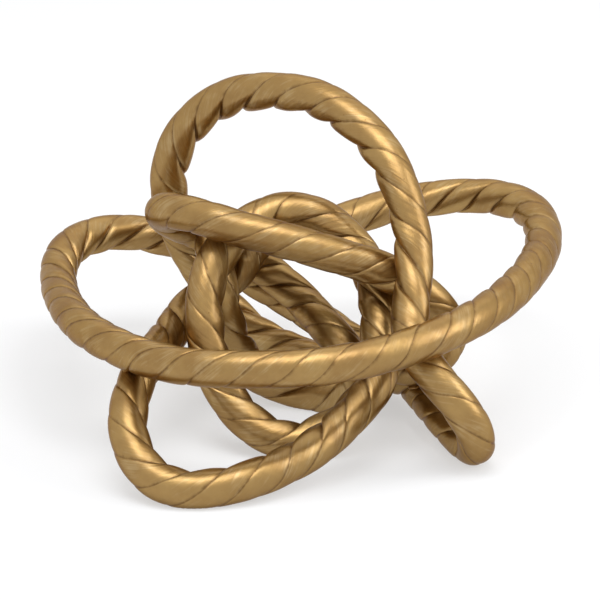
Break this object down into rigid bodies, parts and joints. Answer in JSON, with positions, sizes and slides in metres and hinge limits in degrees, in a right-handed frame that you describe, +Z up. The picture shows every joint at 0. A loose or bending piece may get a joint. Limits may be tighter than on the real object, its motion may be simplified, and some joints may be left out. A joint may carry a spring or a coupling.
{
  "type": "metal knot sculpture",
  "caption": "Table ornament of twisted round metal rod bent into closed rings that pass through each other like a loose knot, brazed where they touch.",
  "frame": {"origin": "middle of the bounding box's bottom, on the table under the knot", "axes": "+Z up; +X to the right and +Y away from a viewer who faces the low front ring; the height is the shortest side"},
  "size_m": [0.3084, 0.3188, 0.1915],
  "materials": {
    "rod": "satin antique gold",
    "braze": "satin"
  },
  "bodies": {
    "root": {"belt_ring": "rod", "tall_ring": "rod", "double_coil": "rod", "slant_ring": "rod", "inner_ring": "rod", "braze_belt": "braze", "braze_tall_slant": "braze", "braze_coil_turns": "braze", "braze_coil_slant": "braze", "braze_coil_inner": "braze", "braze_slant_inner": "braze"}
  },
  "joints": []
}
